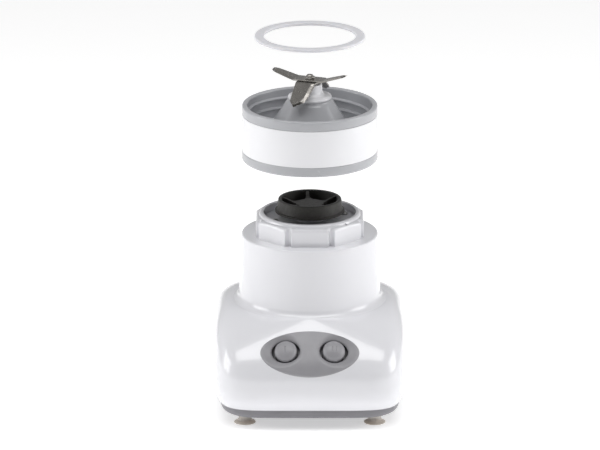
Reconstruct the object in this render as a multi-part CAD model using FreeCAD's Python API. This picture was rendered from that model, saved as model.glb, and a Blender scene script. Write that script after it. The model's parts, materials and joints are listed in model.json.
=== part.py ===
import FreeCAD, Part
import math
import os

from FreeCAD import Matrix, Placement, Rotation, Vector

# Countertop blender: motor base, threaded blade collar and sealing ring, in millimetres.
# The origin is at the level of the feet, 10 mm in front of the motor's axis, midway between the
# front and the back; +Z is up and the panel faces -Y. Shapes are drawn on the motor's axis and
# moved back to it when they are written.
# The collar and the sealing ring are modelled lifted off the base, along the same axis.

X, Y, Z = Vector(1, 0, 0), Vector(0, 1, 0), Vector(0, 0, 1)
O = Vector(0, 0, 0)
FIT = 0.04                      # radial clearance of every running fit

# Motor base: the moulded housing
WALL = 2.8
COVER_BOTTOM_Z = 9.5            # underside of the base cover, above the table
COVER_TOP_Z = 18.5              # parting line between cover and housing
SIDE = 88.0                     # half-width of the body
SIDE_TUCK = 4.0                 # how far the sides pull in at the parting line
SIDE_TUCK_Z = 34.0
NOSE = 111.5                    # depth of the front below the panel
NOSE_TUCK = 12.0
NOSE_TUCK_Z = 45.0
SLOPE_Z = 62.0                  # height where the front turns from wall to slope
SLOPE_ROUND = 6.0               # softness of that turn
SHOULDER_Z = 72.0               # height where the sides start to round over
CREASE_R = 70.5                 # ring where the turret grows out of the body
CREASE_Z = 96.5
FRONT_SLOPE = (NOSE - CREASE_R) / (CREASE_Z - SLOPE_Z)
TURRET_R_LOW = 65.2
TURRET_R_TOP = 62.6
FLARE_TOP_Z = 104.0
SEAT_Z = 159.0                  # flat top of the turret, where the collar lands
SEAT_HOLE_R = 30.0

# Seat ring and the plate inside it
RING_R = 52.0
RING_BORE_R = 42.2
RING_TOP_Z = 179.0
RING_FACETS = 8
FACET_HALF_WIDTH = 17.8
FACET_FLAT = 47.0                # from the axis to a facet
PLATE_TOP_Z = 172.5
PLATE_SCREW_R = 35.6
PLATE_SCREW_ANGLE = 20.0

# Drive coupling
CUP_R = 29.0
CUP_TOP_Z = 191.5
CUP_WALL = 3.2
CUP_FLANGE_R = 32.0
CUP_BOTTOM_Z = 179.2
CUP_FLOOR_Z = 182.5
VANES = 5
VANE_ANGLE = 95.0
VANE_TOP_Z = 186.9
VANE_WIDTH = 3.2
DISC_R = 13.0

# Feet
FOOT_X = 59.5
FOOT_FRONT_Y = -76.0
FOOT_BACK_Y = 60.0
COVER_SCREW_X = 70.0            # the cover's screws, clear of the feet's stems

# Control panel, square to the slope of the front
PANEL_HALF_WIDTH = 45.4
PANEL_HALF_HEIGHT = 22.7
PANEL_Z = 73.4
PANEL_TILT = 46.0               # how far the panel's normal points above the horizontal
PANEL_PROUD = 0.7
PANEL_DEPTH = 6.0
BUTTON_X = 22.2
BUTTON_Z = 74.9
BUTTON_R = 10.2
BUTTON_DOME = 5.0
BUTTON_HOLE = (13.2, 11.7)
BUTTON_SPLAY = 6.0              # each button leans outwards with the curve of the panel
WELL_RADIUS = 58.0
WELL_DEPTH = 2.6

# Motor
SHAFT_R = 4.0
BEARING_R = 8.0
STATOR_R = 44.0
STATOR_BORE_R = 25.0
STATOR_Z = (68.0, 108.0)
MOUNT_X, MOUNT_Y = 58.0, 18.0

# Blade collar; heights are counted from its lower edge
COLLAR_Z = 229.4
COLLAR_H = 52.0
COLLAR_R = 62.0
COLLAR_INNER_R = 57.0
BAND_H = 9.0
LEDGE = 24.5
CONE_LOW_R, CONE_TOP_R, CONE_TOP = 41.0, 20.5, 56.0
POST_R, POST_TOP = 11.5, 72.0
THREAD_PITCH = 9.0
BLADE_T = 1.5
BLADE_ROOT = 10.3               # where the arms bend away from the flat hub

# Sealing ring
GASKET_R, GASKET_HOLE_R, GASKET_T = 50.5, 42.0, 3.0
GASKET_Z = 343.9

SECTION_POINTS = 32             # round each outline of the body
SECTIONS = 13                   # outlines from the parting line to the crease
AXIS_Y = 10.0                   # the motor's axis stands this far behind the middle of the base
parts = {}


def vec(angle, radius, z):
    """A point at an angle in degrees from +X about the axis."""
    a = math.radians(angle)
    return Vector(radius * math.cos(a), radius * math.sin(a), z)


def turned(points):
    """A solid of revolution about Z from a closed outline of (radius, height) points."""
    wire = Part.makePolygon([Vector(r, 0, z) for r, z in points + points[:1]])
    return Part.Face(wire).revolve(O, Z, 360)


def tube(r_in, r_out, z0, z1):
    """A plain ring, or a disc where the inner radius is 0."""
    ring = Part.makeCylinder(r_out, z1 - z0, Vector(0, 0, z0))
    if r_in <= 0:
        return ring
    return ring.cut(Part.makeCylinder(r_in, z1 - z0 + 2, Vector(0, 0, z0 - 1)))


def rod(radius, z0, z1, x=0.0, y=0.0):
    return Part.makeCylinder(radius, z1 - z0, Vector(x, y, z0))


def block(x, y, z):
    """A box from its (low, high) pairs."""
    return Part.makeBox(x[1] - x[0], y[1] - y[0], z[1] - z[0], Vector(x[0], y[0], z[0]))


def around(shape, count, start=0.0):
    """Copies of a shape spaced evenly about the axis."""
    copies = []
    for i in range(count):
        copy = shape.copy()
        copy.rotate(O, Z, start + i * 360.0 / count)
        copies.append(copy)
    return copies


def fused(shapes):
    shapes = list(shapes)
    return shapes[0].multiFuse(shapes[1:]).removeSplitter() if len(shapes) > 1 else shapes[0]


def moved(shape, placement):
    copy = shape.copy()
    copy.Placement = placement.multiply(copy.Placement)
    return copy


# ---- the body's outer form ----

def side_extent(z):
    """Half-width of the body at a height: upright, rounded over to the crease, tucked in below."""
    if z > SHOULDER_Z:
        rise = (z - SHOULDER_Z) / (CREASE_Z - SHOULDER_Z)
        return CREASE_R + (SIDE - CREASE_R) * math.sqrt(max(0.0, 1 - rise * rise))
    if z < SIDE_TUCK_Z:
        drop = (SIDE_TUCK_Z - z) / (SIDE_TUCK_Z - COVER_TOP_Z)
        return SIDE - SIDE_TUCK * drop * drop
    return SIDE


def front_extent(z):
    """Depth of the front: a straight slope from the crease that softens into an upright nose."""
    turn = math.log(1 + math.exp((z - SLOPE_Z) / SLOPE_ROUND))
    depth = NOSE - FRONT_SLOPE * SLOPE_ROUND * turn
    if z < NOSE_TUCK_Z:
        drop = (NOSE_TUCK_Z - z) / (NOSE_TUCK_Z - COVER_TOP_Z)
        depth -= NOSE_TUCK * drop ** 2.2
    return depth


def section(z, at_z, inset, square):
    """One closed outline: a superellipse whose corners are set by the exponent square."""
    side = side_extent(at_z) - inset
    front = front_extent(at_z) - inset
    points = []
    for i in range(SECTION_POINTS):
        a = 2 * math.pi * i / SECTION_POINTS
        c, s = math.cos(a), math.sin(a)
        depth = front if s < 0 else side
        r = ((abs(c) / side) ** square + (abs(s) / depth) ** square) ** (-1 / square)
        points.append(Vector(r * c, r * s, z))
    curve = Part.BSplineCurve()
    even = [float(i) for i in range(SECTION_POINTS + 1)]
    curve.interpolate(Points=points, PeriodicFlag=True, Parameters=even)
    return Part.Wire(curve.toShape())


def body_form(inset, z_low=COVER_TOP_Z):
    """The body up to the crease, with every face moved inwards by inset."""
    top = CREASE_Z - inset
    wires = []
    for step in range(SECTIONS):
        t = step / (SECTIONS - 1.0)
        at_z = COVER_TOP_Z + (CREASE_Z - COVER_TOP_Z) * math.sin(t * math.pi / 2) ** 1.3
        square = 6.0 - 4.0 * ((at_z - COVER_TOP_Z) / (CREASE_Z - COVER_TOP_Z)) ** 4
        z = z_low + (top - z_low) * (at_z - COVER_TOP_Z) / (CREASE_Z - COVER_TOP_Z)
        wires.append(section(z, at_z, inset, square))
    return Part.makeLoft(wires, True, False)


def turret_form(inset):
    """The flared turret, rising from just inside the body's flat top to its own."""
    foot_r, low, top = CREASE_R - inset - 0.3, CREASE_Z - inset - 4.0, SEAT_Z - inset
    start = Vector(foot_r, 0, CREASE_Z - inset + 0.2)
    mid = Vector(TURRET_R_LOW + 1.35 - inset, 0, CREASE_Z + 2.6 - inset)
    end = Vector(TURRET_R_LOW - inset, 0, FLARE_TOP_Z - inset)
    lip = Vector(TURRET_R_TOP - inset, 0, top - 1.6)
    lip_mid = Vector(TURRET_R_TOP - 0.5 - inset, 0, top - 0.5)
    lip_end = Vector(TURRET_R_TOP - 1.6 - inset, 0, top)
    edges = [
        Part.makeLine(Vector(0, 0, low), Vector(foot_r, 0, low)),
        Part.makeLine(Vector(foot_r, 0, low), start),
        Part.Arc(start, mid, end).toShape(),
        Part.makeLine(end, lip),
        Part.Arc(lip, lip_mid, lip_end).toShape(),
        Part.makeLine(lip_end, Vector(0, 0, top)),
        Part.makeLine(Vector(0, 0, top), Vector(0, 0, low)),
    ]
    return Part.Face(Part.Wire(edges)).revolve(O, Z, 360)


# ---- panel frames: local z is the outward normal ----

def panel_frame(x, z, splay=0.0):
    """Placement on the sloping front at a point, its z axis along the outward normal."""
    origin = Vector(x, -front_extent(z), z)
    tilt = Rotation(X, 90.0 - PANEL_TILT)
    return Placement(origin, tilt.multiply(Rotation(Y, splay)))


PANEL = panel_frame(0.0, PANEL_Z)
BUTTONS = {
    "left": panel_frame(-BUTTON_X, BUTTON_Z, -BUTTON_SPLAY),
    "right": panel_frame(BUTTON_X, BUTTON_Z, BUTTON_SPLAY),
}


def oval(half_x, half_y, z0, z1):
    """An elliptical prism on local axes."""
    shape = Part.makeCylinder(1.0, z1 - z0, Vector(0, 0, z0))
    scale = Matrix()
    scale.scale(half_x, half_y, 1.0)
    return shape.transformGeometry(scale)


def stroke(x, half_height):
    """A shallow engraving tool for one stroke of a button's mark."""
    return block((x - 0.5, x + 0.5), (-half_height, half_height), (BUTTON_DOME - 2.1, BUTTON_DOME))


# ---- motor base ----

def housing_shell():
    """Body and turret in one thin shell, open below."""
    outer = body_form(0.0).fuse(turret_form(0.0))
    inner = body_form(WALL, COVER_TOP_Z - 1.0).fuse(turret_form(WALL))
    shell = outer.cut(inner)
    shell = shell.cut(rod(SEAT_HOLE_R, SEAT_Z - 10, SEAT_Z + 5))
    opening = oval(PANEL_HALF_WIDTH, PANEL_HALF_HEIGHT, -20, 20)
    shell = shell.cut(moved(opening, PANEL))
    cord_hole = Part.makeCylinder(6.0, 20, Vector(0, SIDE - 12, 36), Y)
    return shell.cut(cord_hole)


def main_housing(shell):
    """The wide lower part of the shell, with bosses for the cover screws."""
    shell = shell.common(block((-120, 120), (-120, 120), (0, CREASE_Z)))
    for x in (-COVER_SCREW_X, COVER_SCREW_X):
        for y in (-74.0, 62.0):
            wall_x = math.copysign(83.6, x)
            low, high = sorted((x, wall_x))
            rib = block((low, high), (y - 1, y + 1), (38.0, 52.0))
            post = rod(4.5, COVER_TOP_Z, 52.0, x, y).fuse(rib)
            shell = shell.fuse(post).cut(rod(1.5, COVER_TOP_Z - 1, 46.0, x, y))
    return shell


def turret(shell):
    """The round upper part of the shell, from the crease up."""
    return shell.common(block((-120, 120), (-120, 120), (CREASE_Z, SEAT_Z + 1)))


def seat_ring():
    """The ring that locates the collar: eight flat facets under a round lip."""
    ring = turned([
        (RING_BORE_R, SEAT_Z), (RING_R, SEAT_Z), (RING_R, RING_TOP_Z - 5.0), (RING_R - 1.2, RING_TOP_Z - 2.2),
        (RING_R - 3.4, RING_TOP_Z - 0.5), (RING_R - 5.8, RING_TOP_Z), (RING_BORE_R + 0.8, RING_TOP_Z),
        (RING_BORE_R, RING_TOP_Z - 0.8),
    ])
    facet = block((-FACET_HALF_WIDTH, FACET_HALF_WIDTH), (-60, -FACET_FLAT), (SEAT_Z + 1.6, RING_TOP_Z - 3.4))
    facet = facet.makeFillet(1.8, facet.Edges)
    ring = ring.cut(Part.makeCompound(around(facet, RING_FACETS)))
    pin_hole = rod(1.1, RING_TOP_Z - 6, RING_TOP_Z + 1, 32.0, -33.6)
    return ring.cut(pin_hole)


def spill_plate():
    """The plate that closes the ring around the coupling, standing on the turret's top."""
    r = RING_BORE_R - 0.2
    plate = turned([
        (15.0, PLATE_TOP_Z - 3.5), (r - 3, PLATE_TOP_Z - 3.5), (r - 3, SEAT_Z), (r, SEAT_Z),
        (r, PLATE_TOP_Z), (15.0, PLATE_TOP_Z), (15.0, PLATE_TOP_Z + 1.5), (13.0, PLATE_TOP_Z + 1.5),
        (13.0, PLATE_TOP_Z - 3.5),
    ])
    bosses = around(rod(3.4, SEAT_Z, PLATE_TOP_Z - 3.4, PLATE_SCREW_R - 1.9, 0), 4, PLATE_SCREW_ANGLE)
    holes = around(rod(1.5, SEAT_Z - 1, PLATE_TOP_Z + 1, PLATE_SCREW_R - 1.9, 0), 4, PLATE_SCREW_ANGLE)
    return fused([plate] + bosses).cut(Part.makeCompound(holes))


def pan_screw(shank_r, head_r, head_h, length):
    """A pan-head screw with a cross recess, its head above z = 0."""
    head = turned([(0, 0), (head_r, 0), (head_r, head_h * 0.5), (head_r * 0.75, head_h), (0, head_h)])
    cross = fused([
        block((-head_r * 0.55, head_r * 0.55), (-0.35, 0.35), (head_h * 0.4, head_h + 1)),
        block((-0.35, 0.35), (-head_r * 0.55, head_r * 0.55), (head_h * 0.4, head_h + 1)),
    ])
    return head.cut(cross).fuse(rod(shank_r, -length, 0.1))


def plate_screws():
    screw = pan_screw(1.5, 2.9, 1.9, PLATE_TOP_Z - SEAT_Z)
    screw.translate(Vector(PLATE_SCREW_R - 1.9, 0, PLATE_TOP_Z))
    return Part.makeCompound(around(screw, 4, PLATE_SCREW_ANGLE))


def cover_outline(z, inset):
    """The cover follows the housing's lower edge."""
    return section(z, COVER_TOP_Z, inset, 6.0)


def bottom_cover():
    """The base cover: a tray with a rounded lower edge, motor posts, vents and foot holes."""
    levels = [(COVER_BOTTOM_Z, 6.0), (COVER_BOTTOM_Z + 1.2, 3.4), (COVER_BOTTOM_Z + 3.4, 1.8),
              (COVER_BOTTOM_Z + 6.2, 1.2), (COVER_TOP_Z, 1.0)]
    tray = Part.makeLoft([cover_outline(z, inset) for z, inset in levels], True, False)
    floor = COVER_BOTTOM_Z + 3.0
    tray = tray.cut(Part.makeLoft([cover_outline(z, 5.5) for z in (floor, COVER_TOP_Z + 1)], True, True))
    for x in (-MOUNT_X, MOUNT_X):
        for y in (-MOUNT_Y, MOUNT_Y):
            tray = tray.fuse(rod(6.5, floor - 0.5, 43.0, x, y)).cut(rod(2.0, 22.0, 44.0, x, y))
    for x in (-COVER_SCREW_X, COVER_SCREW_X):
        for y in (-74.0, 62.0):
            tray = tray.fuse(rod(4.5, floor - 0.5, COVER_TOP_Z, x, y))
            tray = tray.cut(rod(1.6, COVER_BOTTOM_Z - 1, COVER_TOP_Z + 1, x, y))
            tray = tray.cut(rod(3.2, COVER_BOTTOM_Z - 1, COVER_BOTTOM_Z + 2.4, x, y))
    for x in (-FOOT_X, FOOT_X):
        for y in (FOOT_FRONT_Y, FOOT_BACK_Y):
            tray = tray.cut(rod(3.0, COVER_BOTTOM_Z - 1, floor + 1, x, y))
    slots = [block((-26, 26), (y - 1.5, y + 1.5), (COVER_BOTTOM_Z - 1, floor + 1))
             for y in range(-28, 29, 8)]
    return tray.cut(Part.makeCompound(slots))


def cover_screws():
    screws = []
    for x in (-COVER_SCREW_X, COVER_SCREW_X):
        for y in (-74.0, 62.0):
            screw = pan_screw(1.5, 2.9, 1.9, 30.0)
            screw.rotate(O, X, 180)
            screw.translate(Vector(x, y, COVER_BOTTOM_Z + 2.4))
            screws.append(screw)
    return Part.makeCompound(screws)


def foot(x, y):
    """A suction foot: flared brim, waist and a stem snapped through the cover."""
    top = COVER_BOTTOM_Z
    shape = turned([
        (0, 1.2), (6.5, 1.2), (9.4, 0), (10, 0), (10, 0.7), (6.6, 2.7), (5.6, 4.6), (6.2, 7.2),
        (7.6, 8.4), (7.6, top), (3.0, top), (3.0, top + 3.0), (4.0, top + 3.2), (3.0, top + 5.6), (0, top + 5.6),
    ])
    shape.translate(Vector(x, y, 0))
    return shape


def control_panel():
    """The oval panel: it follows the front, with a dished well and a hole round each button."""
    slab = body_form(-PANEL_PROUD).cut(body_form(PANEL_DEPTH))
    oval_plug = oval(PANEL_HALF_WIDTH - 0.1, PANEL_HALF_HEIGHT - 0.1, -16, 16)
    shape = slab.common(moved(oval_plug, PANEL))
    for frame in BUTTONS.values():
        dish = Part.makeSphere(WELL_RADIUS, Vector(0, 0, WELL_RADIUS - WELL_DEPTH))
        hole = oval(BUTTON_HOLE[0], BUTTON_HOLE[1], -20, 20)
        shape = shape.cut(moved(dish, frame)).cut(moved(hole, frame))
    retainer_posts = [rod(2.5, -24.0, -4.5, 0.0, 0.0), rod(2.5, -24.0, -4.5, -39.0, 0.0),
                      rod(2.5, -24.0, -4.5, 39.0, 0.0)]
    for post in retainer_posts:
        shape = shape.fuse(moved(post, PANEL))
    return shape


def button(side):
    """A domed push button with its stop flange and stem, marked with one or two strokes."""
    base = -1.5
    dome = Part.makeSphere(1.0)
    scale = Matrix()
    scale.scale(BUTTON_R, BUTTON_R, BUTTON_DOME)
    dome = dome.transformGeometry(scale).common(block((-20, 20), (-20, 20), (0, 20)))
    marks = [0.0] if side == "left" else [-1.7, 1.7]
    for x in marks:
        dome = dome.cut(stroke(x, 2.6))
    dome.translate(Vector(0, 0, base))
    shape = dome.fuse([rod(BUTTON_R, -9.5, base), tube(0, 14.4, -11.0, -9.5), rod(3.5, -23.0, -10.5)])
    return moved(shape, BUTTONS[side])


def button_spring(side):
    """A compression spring of six-sided wire between the button's flange and the retainer."""
    pitch, height, radius, wire_r = 2.1, 7.6, 6.0, 0.5
    corners = [vec(60 * i, wire_r, 0) for i in range(7)]
    outline = Part.makePolygon([Vector(radius + c.x, 0, c.y) for c in corners])
    coil = Part.Wire(Part.makeHelix(pitch, height, radius)).makePipeShell([outline], True, True)
    coil.translate(Vector(0, 0, -19.3))
    return moved(coil, BUTTONS[side])


def button_retainer():
    """The plate behind the buttons that holds the springs and guides both stems."""
    plate = oval(42.5, 12.5, -26.0, -24.0)
    shape = moved(plate, PANEL)
    for frame in BUTTONS.values():
        shape = shape.cut(moved(rod(4.4, -40, -10), frame))
        seat = tube(4.4, 8.0, -25.0, -20.2)
        shape = shape.fuse(moved(seat, frame))
    return shape


def switch_block():
    """Two-way switch body behind the retainer, with an actuator under each stem."""
    shape = moved(block((-33, 33), (-8, 8), (-44, -31)), PANEL)
    for x in (-30.0, 0.0, 30.0):
        shape = shape.fuse(moved(block((x - 2.5, x + 2.5), (-3, 3), (-31.5, -26)), PANEL))
    return shape


def cord_bushing():
    """The rubber bushing in the rear wall that the mains lead comes through."""
    y = SIDE
    body = Part.makeCylinder(8.0, 3.0, Vector(0, y + 0.1, 36), Y)
    neck = Part.makeCylinder(5.8, 9.0, Vector(0, y - 8.9, 36), Y)
    flange = Part.makeCylinder(8.0, 3.0, Vector(0, y - 9.5, 36), Y)
    bore = Part.makeCylinder(3.4, 30, Vector(0, y - 15, 36), Y)
    return fused([body, neck, flange]).cut(bore)


def suppression_capacitor():
    box = block((-12, 12), (54, 66), (COVER_BOTTOM_Z + 3.0, COVER_BOTTOM_Z + 23.0))
    return box.makeFillet(1.5, box.Edges)


# ---- motor ----

def stator_core():
    stack = tube(STATOR_BORE_R, STATOR_R, *STATOR_Z)
    pocket = turned([(27.5, STATOR_Z[0] - 1), (37.5, STATOR_Z[0] - 1), (37.5, STATOR_Z[1] + 1),
                     (27.5, STATOR_Z[1] + 1)])
    wedge = sector(60, 26.0)
    pockets = [p.common(pocket) for p in around(wedge, 4, 45.0)]
    bolts = [rod(2.1, STATOR_Z[0] - 1, STATOR_Z[1] + 1, x, 0) for x in (-41.0, 41.0)]
    return stack.cut(Part.makeCompound(pockets + bolts))


def sector(radius, angle):
    """A tall pie slice centred on +X."""
    face = Part.Face(Part.makePolygon([O, vec(-angle / 2, radius, 0), vec(angle / 2, radius, 0), O]))
    slice_ = face.extrude(Vector(0, 0, 200))
    return slice_


def field_coil(turn):
    """One wound coil: two sides through the stack's pockets and two end turns."""
    ring = tube(28.3, 36.7, STATOR_Z[0] - 9, STATOR_Z[1] + 9)
    ends = ring.cut(tube(27, 38, STATOR_Z[0] - 0.4, STATOR_Z[1] + 0.4)).common(sector(60, 108.0))
    sides = [ring.common(s) for s in around(sector(60, 18.0), 4, 45.0)]
    coil = fused([ends, sides[0], sides[3]])
    coil.rotate(O, Z, turn)
    return coil


def bearing_hub(z0, z1):
    return tube(BEARING_R, 12.0, z0, z1)


def lower_bracket():
    """The motor's mounting plate: bearing hub, air openings and legs up to the stack."""
    plate = block((-66, 66), (-26, 26), (52, 56)).cut(tube(14, 32, 50, 58))
    spokes = block((-34, 34), (-5, 5), (52, 56)).cut(rod(9, 50, 58))
    hub = bearing_hub(48, 60)
    legs = [block((low, low + 8), (-10, 10), (55.9, STATOR_Z[0])) for low in (-46.0, 38.0)]
    shape = fused([plate.cut(rod(9, 50, 58)), spokes, hub] + legs)
    holes = [rod(2.1, 40, 80, x, 0) for x in (-41.0, 41.0)]
    holes += [rod(4.6, 40, 60, x, y) for x in (-MOUNT_X, MOUNT_X) for y in (-MOUNT_Y, MOUNT_Y)]
    return shape.cut(Part.makeCompound(holes)).cut(rod(BEARING_R, 40, 62))


def upper_bracket():
    arm = block((-46, 46), (-11, 11), (138, 142))
    cross = block((-11, 11), (-38, 38), (138, 142))
    legs = [block((low, low + 8), (-10, 10), (STATOR_Z[1], 138.1)) for low in (-46.0, 38.0)]
    shape = fused([arm, cross, bearing_hub(136, 148)] + legs)
    holes = [rod(2.1, 100, 150, x, 0) for x in (-41.0, 41.0)] + [rod(BEARING_R, 130, 150)]
    return shape.cut(Part.makeCompound(holes))


def sleeve_bearing(z0, z1):
    return tube(SHAFT_R + FIT, BEARING_R, z0, z1)


def motor_bolts():
    bolts = []
    for x in (-41.0, 41.0):
        head = Part.Face(Part.makePolygon([vec(60 * i, 3.6, 142) for i in range(7)])).extrude(Vector(0, 0, 3))
        head.translate(Vector(x, 0, 0))
        nut = Part.Face(Part.makePolygon([vec(60 * i, 3.6, 49) for i in range(7)])).extrude(Vector(0, 0, 3))
        nut.translate(Vector(x, 0, 0))
        bolts.append(fused([rod(2.0, 49.5, 142.5, x, 0), head, nut]))
    return Part.makeCompound(bolts)


def damping_bushes():
    bush = turned([(2.3, 43), (7, 43), (7, 52), (4.5, 52), (4.5, 56), (7, 56), (7, 60), (2.3, 60)])
    return Part.makeCompound([bush.translated(Vector(x, y, 0))
                              for x in (-MOUNT_X, MOUNT_X) for y in (-MOUNT_Y, MOUNT_Y)])


def mounting_screws():
    screw = pan_screw(2.0, 4.4, 2.4, 34.0)
    return Part.makeCompound([screw.translated(Vector(x, y, 60))
                              for x in (-MOUNT_X, MOUNT_X) for y in (-MOUNT_Y, MOUNT_Y)])


def brush_holder(turn):
    """A channel under the upper bracket that guides one brush to the commutator."""
    holder = block((-6, 6), (14, 33), (120, 138)).cut(block((-3.2, 3.2), (13, 31), (122.8, 129.2)))
    holder.rotate(O, Z, turn)
    return holder


def carbon_brush(turn):
    brush = block((-3.1, 3.1), (12.4, 26), (122.9, 129.1))
    brush.rotate(O, Z, turn)
    return brush


def motor_shaft():
    return turned([
        (0, 28), (SHAFT_R - 0.5, 28), (SHAFT_R, 28.5), (SHAFT_R, CUP_BOTTOM_Z), (3.0, CUP_BOTTOM_Z),
        (3.0, 184.6), (0, 184.6),
    ])


def armature_core():
    """The laminated rotor stack with its winding slots."""
    stack = tube(SHAFT_R, STATOR_BORE_R - 0.6, *STATOR_Z)
    slot = rod(2.2, STATOR_Z[0] - 1, STATOR_Z[1] + 1, 20.4, 0)
    mouth = block((20.4, 30), (-0.8, 0.8), (STATOR_Z[0] - 1, STATOR_Z[1] + 1))
    return stack.cut(Part.makeCompound(around(slot.fuse(mouth), 12)))


def armature_winding():
    """The wound heads above and below the stack, joined by the wires in its slots."""
    low = turned([(5, 61), (17, 61), (21.5, 64), (21.5, STATOR_Z[0]), (5, STATOR_Z[0])])
    high = turned([(5, STATOR_Z[1]), (21.5, STATOR_Z[1]), (21.5, 113), (17, 117.5), (5, 117.5)])
    wire = rod(2.0, STATOR_Z[0] - 1, STATOR_Z[1] + 1, 20.4, 0)
    head_clear = tube(SHAFT_R - 1, SHAFT_R + 1.2, 50, 130)
    return fused([low, high] + around(wire, 12)).cut(head_clear)


def commutator():
    ring = tube(SHAFT_R, 12.0, 120, 134)
    groove = block((10.6, 14), (-0.3, 0.3), (121.5, 135))
    return ring.cut(Part.makeCompound(around(groove, 24)))


def cooling_fan():
    hub = tube(SHAFT_R, 9.0, 30, 44)
    disc = tube(8.0, 37.0, 30, 32)
    blade = block((8.5, 36.5), (-0.8, 0.8), (31.5, 44))
    blade.rotate(Vector(8.5, 0, 0), Z, 14)
    return fused([hub, disc] + around(blade, 9))


def coupling_insert():
    """The threaded brass insert moulded into the coupling."""
    return turned([(3.0, CUP_BOTTOM_Z), (7, CUP_BOTTOM_Z), (7, 184.6), (3.0, 184.6)])


def drive_coupling():
    """The black cup with its centre disc and vanes, which drives the blade shaft."""
    flange_top = CUP_BOTTOM_Z + 1.8
    cup = turned([
        (7, CUP_BOTTOM_Z), (CUP_FLANGE_R, CUP_BOTTOM_Z), (CUP_FLANGE_R, flange_top), (CUP_R + 1.0, flange_top + 0.6),
        (CUP_R, CUP_TOP_Z - 0.6), (CUP_R - 0.6, CUP_TOP_Z), (CUP_R - CUP_WALL + 0.6, CUP_TOP_Z),
        (CUP_R - CUP_WALL, CUP_TOP_Z - 0.8), (CUP_R - CUP_WALL, CUP_FLOOR_Z), (DISC_R, CUP_FLOOR_Z),
        (DISC_R, VANE_TOP_Z - 0.5), (DISC_R - 0.5, VANE_TOP_Z), (0, VANE_TOP_Z), (0, 184.6), (7, 184.6),
    ])
    vane = block((DISC_R - 1, CUP_R - CUP_WALL + 0.5), (-VANE_WIDTH / 2, VANE_WIDTH / 2),
                 (CUP_FLOOR_Z - 0.5, VANE_TOP_Z))
    fillet_r = 4.5
    root = rod(fillet_r, CUP_FLOOR_Z - 0.5, VANE_TOP_Z, DISC_R - 1.5, 0)
    return fused([cup] + around(vane.fuse(root), VANES, VANE_ANGLE))


# ---- blade collar ----

def lift(points):
    """Collar outlines are written from its lower edge."""
    return [(r, z + COLLAR_Z) for r, z in points]


def thread():
    """Two turns of the coarse jar thread on the inner wall."""
    r = COLLAR_INNER_R + 0.4
    low = LEDGE + 5.0
    helix = Part.makeHelix(THREAD_PITCH, THREAD_PITCH * 1.75, r)
    outline = Part.makePolygon([
        Vector(r, 0, -1.5), Vector(r - 2.2, 0, -0.5), Vector(r - 2.2, 0, 0.5), Vector(r, 0, 1.5),
        Vector(r, 0, -1.5),
    ])
    ridge = Part.Wire(helix).makePipeShell([outline], True, True)
    ridge.rotate(O, Z, -60)
    ridge.translate(Vector(0, 0, COLLAR_Z + low))
    return ridge


def collar_body():
    """The grey threaded wall of the collar with its top band."""
    r_in, r_mid, r_out = COLLAR_INNER_R, COLLAR_INNER_R + 2.4, COLLAR_R
    band = COLLAR_H - BAND_H
    wall = turned(lift([
        (r_in, LEDGE - 3.0), (r_mid, LEDGE - 3.0), (r_mid, band), (r_out, band),
        (r_out, COLLAR_H - 1.2), (r_out - 1.2, COLLAR_H), (r_in + 1.0, COLLAR_H), (r_in, COLLAR_H - 1.0),
    ]))
    return wall.fuse(thread())


def blade_cone():
    """The grey floor of the collar: the ledge for the seal and the raised cone."""
    return turned(lift([
        (CONE_LOW_R - 3.6, LEDGE - 3.0), (COLLAR_INNER_R, LEDGE - 3.0), (COLLAR_INNER_R, LEDGE),
        (CONE_LOW_R + 0.6, LEDGE), (CONE_LOW_R - 1.2, LEDGE + 1.6),
        (CONE_TOP_R + 1.4, CONE_TOP - 1.6), (CONE_TOP_R, CONE_TOP), (CONE_TOP_R - 0.6, CONE_TOP + 1.5),
        (8.0, CONE_TOP + 1.5), (8.0, CONE_TOP - 1.5), (CONE_TOP_R - 2.2, CONE_TOP - 1.5),
    ]))


def collar_sleeve():
    """The white outer sleeve between the two grey bands."""
    low, high = BAND_H, COLLAR_H - BAND_H
    r = COLLAR_R + 0.1
    return turned(lift([
        (COLLAR_INNER_R + 2.4, low), (r - 0.3, low), (r, low + 0.5), (r, high - 0.5), (r - 0.3, high),
        (COLLAR_INNER_R + 2.4, high),
    ]))


def collar_base_ring():
    """The grey foot of the collar, which stands on the turret."""
    r = COLLAR_R + 0.3
    return turned(lift([
        (COLLAR_INNER_R - 0.6, 0), (r - 1.4, 0), (r - 0.4, 0.5), (r, 1.6), (r - 0.2, BAND_H),
        (COLLAR_INNER_R + 2.4, BAND_H), (COLLAR_INNER_R + 2.4, LEDGE - 3.0), (COLLAR_INNER_R - 0.6, LEDGE - 3.0),
    ]))


def bearing_housing():
    """The white hub of the collar: a round flange, the post and a spigot through the cone."""
    flange = CONE_TOP + 1.5
    return turned(lift([
        (6.0, CONE_TOP - 10), (8.0, CONE_TOP - 10), (8.0, flange), (19.4, flange), (20.0, flange + 0.8),
        (20.0, flange + 2.4), (18.6, flange + 3.4), (14.0, flange + 3.9), (POST_R + 0.4, flange + 5.2),
        (POST_R, flange + 7.0), (POST_R - 0.3, POST_TOP - 1.0), (POST_R - 1.3, POST_TOP), (6.0, POST_TOP),
    ]))


def shaft_bush(low, high):
    return tube(SHAFT_R + FIT, 6.0, COLLAR_Z + low, COLLAR_Z + high)


def blade_shaft():
    return turned(lift([
        (0, 30.4), (3.5, 30.4), (SHAFT_R, 30.9), (SHAFT_R, POST_TOP + 1.4), (3.0, POST_TOP + 1.4),
        (3.0, POST_TOP + 7.6), (2.6, POST_TOP + 8.0), (0, POST_TOP + 8.0),
    ]))


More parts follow.
